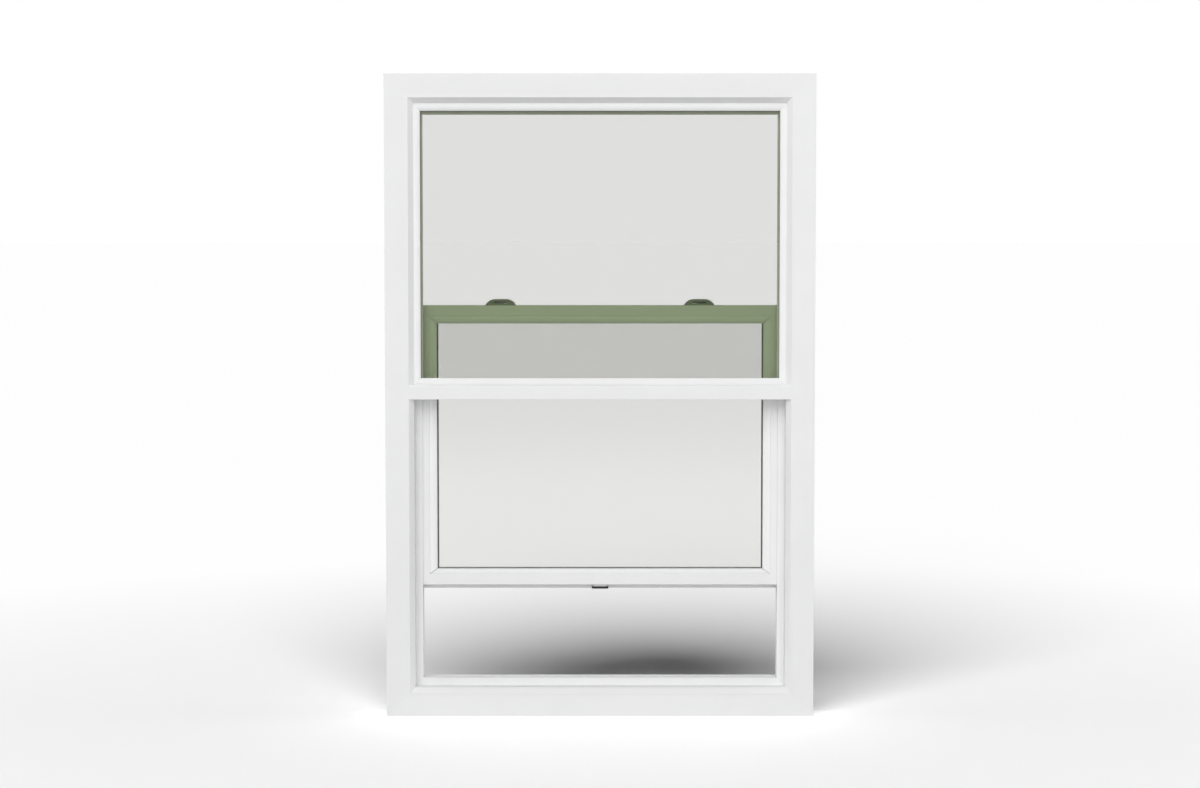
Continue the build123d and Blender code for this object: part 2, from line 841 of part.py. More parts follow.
# Spiral balances: tube and cap in the jamb, twisted rod and shoe on the sash
def strip_corners(centre, level, hand):
    """Corners of the spiral rod's flat section at one height."""
    turn = radians(hand * 360 * level / rod_pitch)
    wide = Vector(cos(turn), sin(turn), 0) * (rod_width / 2)
    thick = Vector(-sin(turn), cos(turn), 0) * (rod_thickness / 2)
    middle = Vector(centre.X, centre.Y, level)
    return [middle + wide + thick, middle - wide + thick, middle - wide - thick, middle + wide - thick]


def twisted_strip(centre, hand):
    """Flat strip twisted into a steep spiral, in flat facets."""
    bottom = shoe_top - rod_socket
    top = tube_bottom + rod_keep + sash_lift
    steps = round((top - bottom) / rod_pitch * rod_steps_per_turn)
    levels = [bottom + (top - bottom) * step / steps for step in range(steps + 1)]
    rings = [strip_corners(centre, level, hand) for level in levels]
    facets = [Face(Wire.make_polygon(rings[0])), Face(Wire.make_polygon(rings[-1]))]
    for low, high in zip(rings, rings[1:]):
        for corner in range(len(low)):
            after = (corner + 1) % len(low)
            start, end = (corner, after) if hand < 0 else (after, corner)
            facets.append(Face(Wire.make_polygon([low[start], low[end], high[end]])))
            facets.append(Face(Wire.make_polygon([low[start], high[end], high[start]])))
    return Solid(Shell(facets))


for side, hand in hands:
    balance = Plane(origin=(hand * balance_x, front_y + balance_depth, 0))
    channel_x = hand * (half_width - channel_floor)

    with BuildPart() as tube:
        with BuildSketch(balance.offset(tube_bottom)):
            Circle(tube_radius)
            Circle(tube_radius - tube_wall, mode=Mode.SUBTRACT)
        extrude(amount=tube_length)
        with BuildSketch(balance.offset(tube_bottom)):
            Circle(tube_radius)
            Circle(tube_lip_bore, mode=Mode.SUBTRACT)
        extrude(amount=tube_lip)
    keep(tube.part, f"{side}_balance_tube")

    with BuildPart() as bushing:
        bushing_bottom = tube_bottom + tube_lip + bushing_gap
        bushing_turn = hand * 360 * (bushing_bottom + bushing_height / 2) / rod_pitch
        with BuildSketch(balance.offset(bushing_bottom)):
            Circle(tube_radius - tube_wall - bushing_gap)
            Rectangle(bushing_slot_length, bushing_slot_width, rotation=bushing_turn, mode=Mode.SUBTRACT)
        extrude(amount=bushing_height)
    keep(bushing.part, f"{side}_balance_bushing")

    with BuildPart() as cap:
        with BuildSketch(balance.offset(tube_top)):
            with Locations((channel_x - hand * cap_side / 2 - hand * balance_x, 0)):
                Rectangle(cap_side, cap_width)
        extrude(amount=cap_height)
        with BuildSketch(balance.offset(tube_top)):
            Circle(tube_radius - tube_wall - bore_gap)
        extrude(amount=-cap_spigot)
        screw_holes([cap_place(hand)], cap_side)
    keep(cap.part, f"{side}_balance_cap")

    with BuildPart() as shoe:
        with BuildSketch(Plane(origin=(hand * sash_half, front_y + balance_depth, shoe_bottom))):
            with Locations((hand * shoe_reach / 2, 0)):
                Rectangle(shoe_reach, shoe_width)
        extrude(amount=shoe_height)
        with BuildSketch(balance.offset(shoe_top - rod_socket)):
            Circle(rod_socket_radius)
        extrude(amount=rod_socket, mode=Mode.SUBTRACT)
        screw_holes(shoe_screw_planes(hand), shoe_screw_seat)
        with Locations(*shoe_screw_planes(hand)):
            Box(
                shoe_pocket, shoe_pocket, shoe_reach, mode=Mode.SUBTRACT,
                align=(Align.CENTER, Align.CENTER, Align.MIN),
            )
    keep(shoe.part, f"{side}_balance_shoe")

    strip = twisted_strip(balance.origin, hand)
    with BuildPart() as rod:
        add(strip)
    keep(rod.part, f"{side}_spiral_rod")

with BuildPart() as cap_screws:
    screws([cap_place(hand) for _, hand in hands], cap_side + screw_length)
keep(cap_screws.part, "cap_screws")

with BuildPart() as shoe_screws:
    screws([plane for _, hand in hands for plane in shoe_screw_planes(hand)], screw_length)
keep(shoe_screws.part, "shoe_screws")

# Stops in the jamb tracks that end the sash's rise
with BuildPart() as travel_stops:
    stop_x = half_width - track_floor - stop_thickness / 2
    stop_depth = (track_front + track_back) / 2
    with BuildSketch(Plane(origin=(0, front_y + stop_depth, stop_bottom))):
        with Locations((-stop_x, 0), (stop_x, 0)):
            Rectangle(stop_thickness, track_back - track_front)
    extrude(amount=stop_height)
keep(travel_stops.part, "travel_stops")
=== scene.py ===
import json
import math

import bmesh
import bpy
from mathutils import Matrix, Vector

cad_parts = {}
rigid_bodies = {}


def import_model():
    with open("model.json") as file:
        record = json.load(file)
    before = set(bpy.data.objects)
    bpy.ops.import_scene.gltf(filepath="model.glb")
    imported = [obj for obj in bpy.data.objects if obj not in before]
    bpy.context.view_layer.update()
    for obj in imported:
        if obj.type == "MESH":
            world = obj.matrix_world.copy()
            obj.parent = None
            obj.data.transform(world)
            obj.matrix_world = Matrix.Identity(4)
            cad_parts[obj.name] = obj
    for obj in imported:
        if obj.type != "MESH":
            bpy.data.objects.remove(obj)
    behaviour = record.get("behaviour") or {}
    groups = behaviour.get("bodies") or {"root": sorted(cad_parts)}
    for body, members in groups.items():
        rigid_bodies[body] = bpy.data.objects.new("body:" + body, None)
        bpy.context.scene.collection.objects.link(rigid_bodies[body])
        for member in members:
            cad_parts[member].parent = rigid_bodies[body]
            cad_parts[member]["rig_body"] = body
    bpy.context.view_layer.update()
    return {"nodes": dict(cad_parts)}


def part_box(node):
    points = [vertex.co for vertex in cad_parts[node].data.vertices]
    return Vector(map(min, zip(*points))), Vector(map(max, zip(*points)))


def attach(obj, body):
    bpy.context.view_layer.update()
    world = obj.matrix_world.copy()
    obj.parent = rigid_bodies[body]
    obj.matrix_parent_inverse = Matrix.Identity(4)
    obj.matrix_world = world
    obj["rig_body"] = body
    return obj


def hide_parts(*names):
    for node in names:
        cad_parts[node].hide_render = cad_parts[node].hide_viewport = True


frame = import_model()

# Single-hung vinyl window, dressed in its own frame. Metres, +Z up, the outside faces -Y.

nodes = frame["nodes"]
scene = bpy.context.scene
scene.view_settings.view_transform = "Standard"

# Rounded edges of the vinyl and the hardware, and the open joints at the sash beads' mitres
frame_edge = 0.0006
sash_edge = 0.0005
bead_edge = 0.0004
bead_foot_edge = 0.00015
hardware_edge = 0.0004
edge_steps = 3
flat_face_weight = 100
bead_joint_gap = 0.0012

# How faces are told apart: points that merge, flat neighbours, sharp lines, mitre cuts and facing sides
merge_distance = 0.000002
flat_angle = math.radians(0.5)
sharp_angle = math.radians(25)
mitre_slant = 0.3
mitre_lean = 0.01
spacer_lean = 0.1
facing = 0.9

# Screws, with a cross recess in a pan head
screw_head_radius = 0.003
screw_head_height = 0.0022
screw_head_facets = 32
screw_head_rings = 16
screw_shank_radius = 0.0016
screw_shank_facets = 16
recess_width = 0.0009
recess_length = 0.0036
recess_depth = 0.0012

# Covers in the room side of the locks' cam slots
slot_cover_length = 0.0286
slot_cover_thickness = 0.0008
slot_cover_inset = 0.0003
slot_cover_low = 0.00405
slot_cover_high = 0.00825

# Pile seals: a backing with a fin and brushed fibres
pile_backing = 0.0008
pile_fin = 0.0004
pile_fin_drop = 0.0003
fibre_radius = 0.00016
fibre_sides = 3
fibres_per_area = 900000.0
fibre_seed = 11

# Breather holes along the spacer bars, drawn as dark plugs: painted shade of the holes
breather_radius = 0.0006
breather_depth = 0.0003
breather_sides = 8
breather_pitch = 0.005
breather_lift = 0.00003

# Spiral rods of the balances
rod_width = 0.006
rod_thickness = 0.0016
rod_pitch = 0.075
rod_columns = 4
rod_rings_per_turn = 40

# Noise levels between which a finish goes from one tone or roughness to the other
patch_low = 0.3
patch_high = 0.7

# White vinyl: die lines along the extrusion, faint clouds and fine grain, in patches per metre
die_line_scales = {"upright": (900, 900, 2), "level": (2, 900, 900)}
vinyl_cloud_scale = 14
vinyl_grain_scale = 2600
vinyl_roughness = (0.36, 0.46)
vinyl_shine = 0.35
vinyl_relief = 0.00002
vinyl_relief_strength = 0.5
frame_tones = ((0.862, 0.863, 0.866), (0.882, 0.883, 0.886))
# The beads are the frame's vinyl given a lighter tone: painted light that offsets the shade in their recess
bead_painted_light_tones = ((0.915, 0.916, 0.919), (0.935, 0.936, 0.939))

# Moulded, painted and plated finishes
moulded_cloud_scale = 40
moulded_roughness_spread = 0.06
metal_cloud_scale = 60
metal_roughness_spread = 0.07

# What each glass pane lets through: to the eye, from foot to head, and to the light on its way in. The sash
# pane is lighter to the eye at its foot: a painted reflection of the bright floor in front
upper_sight = ((0.862, 0.862, 0.853), (0.862, 0.862, 0.853))
upper_light = (0.7625, 0.806, 0.696, 1)
sash_sight = ((0.893, 0.893, 0.885), (0.850, 0.850, 0.842))
# Heights over which the sash pane's painted floor reflection fades out upwards
sash_painted_reflection_heights = (0.46, 0.68)
sash_light = (0.93, 0.93, 0.925, 1)
floor_light = (0.36, 0.36, 0.36, 1)
floor_light_reach = 0.25
glass_bend = 1.25

# Camera, taken from the photo's perspective
camera_place = (0, -6.1315, 1.1167)
camera_pitch = math.radians(-3.98)
camera_lens = 86.07
sensor_width = 36.0

# Light and background
sky_reflected = 0.35
key_level = 1.66
key_way = Vector((-0.12, -0.70, 0.68))
key_spread = math.radians(48)
fill_spread = math.radians(60)
front_fill_level = 0.98
front_fill_way = Vector((0, -1, 0.05))
left_fill_level = 1.48
left_fill_way = Vector((-1, -0.15, 0.1))
right_fill_level = 1.5
right_fill_way = Vector((1, -0.15, 0.1))
under_fill_level = 0.6
under_fill_way = Vector((0, -0.75, -0.65))
back_fill_level = 2.7
back_fill_way = Vector((0.25, 1, 0.1))
floor_reach = 60.0
floor_sides = 96
floor_near = 0.8
floor_far = 2.6
floor_near_tone = 0.35
floor_far_tone = 0.95
# Near the window the floor is darker to the eye: painted shade around the window's foot
floor_near_painted_shade_white = 2.26
floor_far_white = 2.7


# Building blocks for node trees
def blank_material(name):
    """New material with an empty node tree."""
    made = bpy.data.materials.new(name)
    made.use_nodes = True
    made.node_tree.nodes.clear()
    return made, made.node_tree


def add(tree, kind, inputs=None, family="Shader", **settings):
    """New node, with sockets linked or values set by input name."""
    made = tree.nodes.new(f"{family}Node{kind}")
    for name, value in settings.items():
        setattr(made, name, value)
    for name, value in (inputs or {}).items():
        if isinstance(value, bpy.types.NodeSocket):
            tree.links.new(value, made.inputs[name])
        else:
            made.inputs[name].default_value = value
    return made


def math_node(tree, operation, first, second):
    return add(tree, "Math", {0: first, 1: second}, operation=operation).outputs[0]


def ranged(tree, value, start, end, low, high, **settings):
    """A number that goes from low to high as a value goes from start to end."""
    inputs = {"Value": value, "From Min": start, "From Max": end, "To Min": low, "To Max": high}
    return add(tree, "MapRange", inputs, **settings).outputs["Result"]


def between(tree, factor, low, high):
    """A number that goes from low to high with a texture's factor."""
    return ranged(tree, factor, patch_low, patch_high, low, high)


def tone_between(tree, factor, dark, light):
    """A colour that goes from dark to light with a texture's factor."""
    ramp = add(tree, "ValToRGB", {"Fac": factor})
    first, second = ramp.color_ramp.elements
    first.position, first.color = patch_low, (*dark, 1)
    second.position, second.color = patch_high, (*light, 1)
    return ramp.outputs["Color"]


def object_place(tree):
    return add(tree, "TexCoord").outputs["Object"]


def stretched(tree, place, scales):
    """A place with its own scale along each axis."""
    return add(tree, "Mapping", {"Vector": place, "Scale": scales}).outputs["Vector"]


def noise(tree, place, scale, detail=3):
    """Noise with its number of patches per metre."""
    return add(tree, "TexNoise", {"Vector": place, "Scale": scale, "Detail": detail}).outputs["Fac"]


def bump(tree, height, distance, strength=1):
    settings = {"Height": height, "Distance": distance, "Strength": strength}
    return add(tree, "Bump", settings).outputs["Normal"]


def surface(tree, shader):
    """Send a shader to the material's surface."""
    output = add(tree, "OutputMaterial")
    tree.links.new(shader.outputs[0], output.inputs["Surface"])


# Materials
def white_vinyl(name, run, dark, light):
    """Satin white vinyl with faint die lines along the way it was extruded."""
    made, tree = blank_material(f"{name}_{run}")
    place = object_place(tree)
    lines = noise(tree, stretched(tree, place, die_line_scales[run]), 1)
    cloud = noise(tree, place, vinyl_cloud_scale, detail=4)
    grain = noise(tree, place, vinyl_grain_scale, detail=2)
    relief = math_node(tree, "ADD", lines, grain)
    shader = add(tree, "BsdfPrincipled", {
        "Base Color": tone_between(tree, cloud, dark, light),
        "Roughness": between(tree, lines, *vinyl_roughness),
        "Specular IOR Level": vinyl_shine,
        "Normal": bump(tree, relief, vinyl_relief, vinyl_relief_strength),
    })
    surface(tree, shader)
    return made


def tinted_glass(name, sight, light):
    """Pane that looks neutral, is lighter towards its foot by a painted reflection of the floor where its
    two sights differ, and tints the light that falls through it.
    """
    made, tree = blank_material(name)
    height = add(tree, "SeparateXYZ", {"Vector": object_place(tree)}).outputs["Z"]
    low, high = sash_painted_reflection_heights
    # Painted reflection: the pane's tone runs from its foot's sight to its head's between these heights
    painted_reflection_rise = ranged(tree, height, low, high, patch_low, patch_high, interpolation_type="SMOOTHSTEP")
    pane = add(tree, "BsdfPrincipled", {
        "Base Color": tone_between(tree, painted_reflection_rise, *sight),
        "Roughness": 0.0,
        "IOR": glass_bend,
        "Transmission Weight": 1.0,
    })
    rays = add(tree, "LightPath").outputs
    onward = math_node(tree, "GREATER_THAN", rays["Ray Length"], floor_light_reach)
    near = add(tree, "BsdfTransparent", {"Color": light})
    far = add(tree, "BsdfTransparent", {"Color": floor_light})
    passing = add(tree, "MixShader", {0: onward, 1: near.outputs[0], 2: far.outputs[0]})
    lit = math_node(tree, "MAXIMUM", rays["Is Shadow Ray"], rays["Is Diffuse Ray"])
    mixed = add(tree, "MixShader", {0: lit, 1: pane.outputs[0], 2: passing.outputs[0]})
    surface(tree, mixed)
    return made


def moulded(name, dark, light, roughness, grain, depth):
    """Moulded or extruded plastic or rubber, with grains per metre of the given depth."""
    made, tree = blank_material(name)
    place = object_place(tree)
    grains = noise(tree, place, grain)
    cloud = noise(tree, place, moulded_cloud_scale, detail=4)
    smoother, rougher = roughness - moulded_roughness_spread, roughness + moulded_roughness_spread
    shader = add(tree, "BsdfPrincipled", {
        "Base Color": tone_between(tree, cloud, dark, light),
        "Roughness": between(tree, grains, smoother, rougher),
        "Normal": bump(tree, grains, depth),
    })
    surface(tree, shader)
    return made


def metal(name, dark, light, roughness, brush, depth, metallic, shine=0.5):
    """Plated or painted metal with brush lines across the given scales."""
    made, tree = blank_material(name)
    place = object_place(tree)
    lines = noise(tree, stretched(tree, place, brush), 1)
    cloud = noise(tree, place, metal_cloud_scale, detail=4)
    smoother, rougher = roughness - metal_roughness_spread, roughness + metal_roughness_spread
    shader = add(tree, "BsdfPrincipled", {
        "Base Color": tone_between(tree, cloud, dark, light),
        "Metallic": metallic,
        "Specular IOR Level": shine,
        "Roughness": between(tree, lines, smoother, rougher),
        "Normal": bump(tree, lines, depth),
    })
    surface(tree, shader)
    return made


vinyl_upright = white_vinyl("white_vinyl", "upright", *frame_tones)
vinyl_level = white_vinyl("white_vinyl", "level", *frame_tones)
bead_painted_light_upright = white_vinyl("painted_light_bead_vinyl", "upright", *bead_painted_light_tones)
bead_painted_light_level = white_vinyl("painted_light_bead_vinyl", "level", *bead_painted_light_tones)
upper_glass = tinted_glass("upper_tinted_glass", upper_sight, upper_light)
sash_glass = tinted_glass("sash_tinted_glass", sash_sight, sash_light)
# The upper spacer bar has a far lighter tone than the sash's: painted light that offsets the shade under the
# head
upper_spacer_bar_painted_light = moulded(
    "upper_spacer_bar_painted_light", (0.62, 0.60, 0.62), (0.66, 0.64, 0.66), roughness=0.45, grain=1800, depth=0.00002
)
sash_spacer_bar = moulded(
    "sash_spacer_bar", (0.14, 0.145, 0.13), (0.17, 0.175, 0.16), roughness=0.45, grain=1800, depth=0.00002
)
# Black rubber of the seals and bumper, also used as the painted shade of the breather holes
black_rubber = moulded(
    "black_rubber", (0.014, 0.014, 0.015), (0.024, 0.024, 0.025), roughness=0.65, grain=2400, depth=0.00004
)
grey_rubber = moulded(
    "grey_rubber", (0.32, 0.32, 0.31), (0.38, 0.38, 0.37), roughness=0.7, grain=2000, depth=0.00004
)
white_rubber = moulded(
    "white_rubber", (0.88, 0.88, 0.87), (0.92, 0.92, 0.91), roughness=0.6, grain=2000, depth=0.00003
)
grey_nylon = moulded(
    "grey_nylon", (0.51, 0.51, 0.50), (0.58, 0.58, 0.57), roughness=0.5, grain=1500, depth=0.00003
)
grey_pile = moulded(
    "grey_pile", (0.38, 0.38, 0.37), (0.52, 0.52, 0.51), roughness=0.9, grain=3000, depth=0.00006
)
lock_paint = metal(
    "grey_lock_metal", (0.235, 0.258, 0.182), (0.27, 0.293, 0.21),
    roughness=0.5, brush=(1300, 1300, 1300), depth=0.00002, metallic=0.0, shine=0.1,
)
plated_steel = metal(
    "steel_screw", (0.55, 0.55, 0.56), (0.66, 0.66, 0.67),
    roughness=0.32, brush=(900, 900, 40), depth=0.00001, metallic=1.0,
)
tube_paint = metal(
    "balance_tube", (0.76, 0.76, 0.76), (0.82, 0.82, 0.82),
    roughness=0.4, brush=(1200, 1200, 8), depth=0.00001, metallic=0.0,
)


# Building blocks for pieces
def link(mesh, name):
    """New object for a mesh, at the origin."""
    made = bpy.data.objects.new(name, mesh)
    scene.collection.objects.link(made)
    return made


def mesh_of(shape, name):
    """New mesh of a finished shape."""
    mesh = bpy.data.meshes.new(name)
    shape.to_mesh(mesh)
    shape.free()
    return mesh


def body_of(node):
    return nodes[node]["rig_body"]


def stand_for(piece, node):
    """Let a piece ride with a node's body in its place."""
    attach(piece, body_of(node))
    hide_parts(node)


def dress(node, material):
    """Give a node's own mesh its material."""
    slots = nodes[node].data.materials
    slots.clear()
    slots.append(material)


def clean_copy(node):
    """A node's mesh with its loose triangles merged into whole faces."""
    shape = bmesh.new()
    shape.from_mesh(nodes[node].data)
    bmesh.ops.remove_doubles(shape, verts=shape.verts, dist=merge_distance)
    bmesh.ops.dissolve_limit(shape, angle_limit=flat_angle, verts=shape.verts, edges=shape.edges)
    return shape


def add_box(shape, low, high):
    """Plain box between two corners."""
    for point in bmesh.ops.create_cube(shape, size=1)["verts"]:
        point.co = (low + high) / 2 + point.co * (high - low)


def islands(shape):
    """The places of the points of each loose piece."""
    seen = set()
    for start in shape.verts:
        if start in seen:
            continue
        seen.add(start)
        found = [start]
        for point in found:
            for line in point.link_edges:
                after = line.other_vert(point)
                if after not in seen:
                    seen.add(after)
                    found.append(after)
        yield [point.co.copy() for point in found]


def corners(points):
    """Low and high corner of the box around some points."""
    low = Vector(min(point[axis] for point in points) for axis in range(3))
    high = Vector(max(point[axis] for point in points) for axis in range(3))
    return low, high


def is_mitre(face):
    """True on a face cut aslant in the window's plane."""
    slant = min(abs(face.normal.x), abs(face.normal.z))
    return slant > mitre_slant and abs(face.normal.y) < mitre_lean


def softened(node, edge, material, jointed=False, gap=0):
    """Copy of a piece with rounded edges that stands for it. Welded mitres stay shut, jointed ones show."""
    shape = clean_copy(node)
    if gap:
        low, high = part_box(node)
        axis = 0 if high.x - low.x > high.z - low.z else 2
        middle = (low[axis] + high[axis]) / 2
        for point in shape.verts:
            point.co[axis] -= math.copysign(gap / 2, point.co[axis] - middle)
    weight = shape.edges.layers.float.new("bevel_weight_edge")
    for line in shape.edges:
        welded = not jointed and any(is_mitre(face) for face in line.link_faces)
        sharp = len(line.link_faces) == 2 and line.calc_face_angle() > sharp_angle
        line[weight] = 1.0 if sharp and not welded else 0.0
        line.smooth = not (sharp and welded)
    for face in shape.faces:
        face.smooth = True
    mesh = mesh_of(shape, f"{node}_finish")
    mesh.materials.append(material)
    piece = link(mesh, f"{node}_finish")
    round_edges = piece.modifiers.new("round edges", "BEVEL")
    round_edges.limit_method = "WEIGHT"
    round_edges.width = edge
    round_edges.segments = edge_steps
    round_edges.use_clamp_overlap = False
    flat_faces = piece.modifiers.new("flat faces", "WEIGHTED_NORMAL")
    flat_faces.keep_sharp = True
    flat_faces.weight = flat_face_weight
    stand_for(piece, node)


# Node trees for the screws, the spiral rods, the pile seals and the breather holes
def new_tree(name, sizes):
    """Geometry tree with a geometry in and out, a material and named sizes."""
    tree = bpy.data.node_groups.new(name, "GeometryNodeTree")
    tree.interface.new_socket("Geometry", in_out="OUTPUT", socket_type="NodeSocketGeometry")
    tree.interface.new_socket("Geometry", in_out="INPUT", socket_type="NodeSocketGeometry")
    tree.interface.new_socket("Material", in_out="INPUT", socket_type="NodeSocketMaterial")
    for size, kind in sizes.items():
        tree.interface.new_socket(size, in_out="INPUT", socket_type=f"NodeSocket{kind}")
    return tree, tree.nodes.new("NodeGroupInput").outputs


def form(tree, kind, inputs=None, **settings):
    """What a new geometry node makes."""
    return add(tree, kind, inputs, family="Geometry", **settings).outputs[0]


def vector_of(tree, x=0.0, y=0.0, z=0.0):
    return add(tree, "CombineXYZ", {"X": x, "Y": y, "Z": z}).outputs[0]


def height_of(tree, place):
    return add(tree, "SeparateXYZ", {0: place}).outputs["Z"]


def moved(tree, shape, place):
    return form(tree, "Transform", {"Geometry": shape, "Translation": place})


def joined(tree, *shapes):
    """Several shapes as one."""
    made = add(tree, "JoinGeometry", family="Geometry")
    for shape in shapes:
        tree.links.new(shape, made.inputs[0])
    return made.outputs[0]


def creased(tree, shape, angle):
    """Smooth shading, with sharp lines where faces meet at more than the angle."""
    smooth = form(tree, "SetShadeSmooth", {0: shape, "Shade Smooth": True})
    bend = form(tree, "InputMeshEdgeAngle")
    sharp = math_node(tree, "GREATER_THAN", bend, angle)
    settings = {0: smooth, "Selection": sharp, "Shade Smooth": False}
    return form(tree, "SetShadeSmooth", settings, domain="EDGE")


def turned_to_way(tree):
    """Rotation that turns a shape's Z along its point's way."""
    way = form(tree, "InputNamedAttribute", {"Name": "way"}, data_type="FLOAT_VECTOR")
    return add(tree, "AlignRotationToVector", {"Vector": way}, family="Function", axis="Z").outputs[0]


def set_on(tree, points, shape, rotation):
    """A shape set on each point."""
    return form(tree, "InstanceOnPoints", {"Points": points, "Instance": shape, "Rotation": rotation})


def ended(tree, given, shape):
    """Make a tree's shape real, with its material, and send it out."""
    real = form(tree, "RealizeInstances", {0: shape})
    done = form(tree, "SetMaterial", {"Geometry": real, "Material": given["Material"]})
    tree.links.new(done, tree.nodes.new("NodeGroupOutput").inputs[0])
    return tree


def screw_tree():
    """Pan-head screws with a cross recess, each along its point's way."""
    sizes = ("Head Radius", "Head Height", "Shank Radius", "Shank Length",
             "Recess Width", "Recess Length", "Recess Depth")
    tree, given = new_tree("pan_head_screws", dict.fromkeys(sizes, "Float"))
    ball = {"Segments": screw_head_facets, "Rings": screw_head_rings, "Radius": given["Head Radius"]}
    ball = form(tree, "MeshUVSphere", ball)
    flatness = math_node(tree, "DIVIDE", given["Head Height"], given["Head Radius"])
    dome = form(tree, "Transform", {"Geometry": ball, "Scale": vector_of(tree, 1, 1, flatness)})
    deep = math_node(tree, "MULTIPLY", given["Recess Depth"], 2)
    long, wide = given["Recess Length"], given["Recess Width"]
    cut = add(tree, "MeshBoolean", {"Mesh 1": dome}, family="Geometry", operation="DIFFERENCE")
    for across, along in ((long, wide), (wide, long)):
        bar = form(tree, "MeshCube", {"Size": vector_of(tree, across, along, deep)})
        bar = moved(tree, bar, vector_of(tree, z=given["Head Height"]))
        tree.links.new(bar, cut.inputs["Mesh 2"])
    buried = math_node(tree, "LESS_THAN", height_of(tree, form(tree, "InputPosition")), 0)
    buried = {"Geometry": cut.outputs[0], "Selection": buried}
    head = form(tree, "DeleteGeometry", buried, domain="FACE")
    shank = {"Vertices": screw_shank_facets, "Radius": given["Shank Radius"], "Depth": given["Shank Length"]}
    shank = form(tree, "MeshCylinder", shank)
    shank = moved(tree, shank, vector_of(tree, z=math_node(tree, "MULTIPLY", given["Shank Length"], -0.5)))
    screw = creased(tree, joined(tree, head, shank), sharp_angle)
    return ended(tree, given, set_on(tree, given["Geometry"], screw, turned_to_way(tree)))


def rod_tree():
    """Flat bar twisted about its length, from the height of its foot."""
    sizes = {"Width": "Float", "Thickness": "Float", "Length": "Float", "Pitch": "Float",
             "Hand": "Float", "Foot": "Float", "Rings": "Int"}
    tree, given = new_tree("spiral_rod", sizes)
    size = vector_of(tree, given["Width"], given["Thickness"], given["Length"])
    bar = form(tree, "MeshCube", {"Size": size, "Vertices X": rod_columns, "Vertices Z": given["Rings"]})
    bar = moved(tree, bar, vector_of(tree, z=math_node(tree, "MULTIPLY", given["Length"], 0.5)))
    place = form(tree, "InputPosition")
    level = math_node(tree, "ADD", height_of(tree, place), given["Foot"])
    turns = math_node(tree, "DIVIDE", level, given["Pitch"])
    angle = math_node(tree, "MULTIPLY", math_node(tree, "MULTIPLY", turns, math.tau), given["Hand"])
    twist = {"Vector": place, "Angle": angle}
    twisted = add(tree, "VectorRotate", twist, rotation_type="Z_AXIS").outputs[0]
    bar = form(tree, "SetPosition", {"Geometry": bar, "Position": twisted})
    bar = creased(tree, bar, sharp_angle)
    return ended(tree, given, set_on(tree, given["Geometry"], bar, (0, 0, 0)))


def pile_tree():
    """Fibres brushed up from the faces marked as roots."""
    sizes = {"Length": "Float", "Radius": "Float", "Density": "Float", "Seed": "Int"}
    tree, given = new_tree("pile_fibres", sizes)
    root = form(tree, "InputNamedAttribute", {"Name": "root"}, data_type="FLOAT")
    sown = {"Mesh": given["Geometry"], "Selection": root, "Density": given["Density"], "Seed": given["Seed"]}
    sown = add(tree, "DistributePointsOnFaces", sown, family="Geometry").outputs
    fibre = {"Vertices": fibre_sides, "Radius Bottom": given["Radius"], "Depth": given["Length"]}
    fibre = form(tree, "MeshCone", fibre, fill_type="NGON")
    fibres = set_on(tree, sown["Points"], fibre, sown["Rotation"])
    return ended(tree, given, joined(tree, fibres, given["Geometry"]))


def breather_tree():
    """Small round holes, one on each point, as dark plugs let into the bar: painted shade of the holes."""
    tree, given = new_tree("breather_holes", dict.fromkeys(("Radius", "Depth", "Lift"), "Float"))
    plug = {"Vertices": breather_sides, "Radius": given["Radius"], "Depth": given["Depth"]}
    plug = form(tree, "MeshCylinder", plug)
    sunk = math_node(tree, "MULTIPLY", given["Depth"], -0.5)
    plug = moved(tree, plug, vector_of(tree, z=math_node(tree, "ADD", sunk, given["Lift"])))
    return ended(tree, given, set_on(tree, given["Geometry"], plug, turned_to_way(tree)))


# Pieces grown from those trees
def grown(name, tree, mesh, sizes, material):
    """What a tree makes of a mesh, as a plain mesh of its own."""
    piece = link(mesh, name)
    maker = piece.modifiers.new("maker", "NODES")
    maker.node_group = tree
    values = {**sizes, "Material": material}
    for socket in tree.interface.items_tree:
        if socket.name in values:
            maker[socket.identifier] = values[socket.name]
    graph = bpy.context.evaluated_depsgraph_get()
    plain = bpy.data.meshes.new_from_object(piece.evaluated_get(graph), depsgraph=graph)
    piece.modifiers.clear()
    piece.data = plain
    return piece


def spot_mesh(name, spots):
    """Loose points, each with a way."""
    mesh = bpy.data.meshes.new(name)
    mesh.from_pydata([spot for spot, way in spots], [], [])
    ways = mesh.attributes.new("way", "FLOAT_VECTOR", "POINT")
    for number, (spot, way) in enumerate(spots):
        ways.data[number].vector = way
    return mesh


def screw_spots(node):
    """Seat and way of each screw of a node, and the length of its shank."""
    shape = clean_copy(node)
    spots = []
    for points in islands(shape):
        low, high = corners(points)
        size, middle = high - low, (low + high) / 2
        axis = max(range(3), key=lambda number: size[number])
        length = size[axis] - screw_head_height
        widest = max(points, key=lambda point: (point - middle).length)
        way = Vector((0, 0, 0))
        way[axis] = math.copysign(1, widest[axis] - middle[axis])
        spots.append((middle + way * (size[axis] / 2 - screw_head_height), way))
    shape.free()
    return spots, length


def turn_screws(node, tree, material):
    """Cross-recess screws in place of a node's plain ones."""
    spots, length = screw_spots(node)
    sizes = {
        "Head Radius": screw_head_radius, "Head Height": screw_head_height,
        "Shank Radius": screw_shank_radius, "Shank Length": length,
        "Recess Width": recess_width, "Recess Length": recess_length, "Recess Depth": recess_depth,
    }
    screws = grown(f"{node}_finish", tree, spot_mesh(f"{node}_spots", spots), sizes, material)
    stand_for(screws, node)


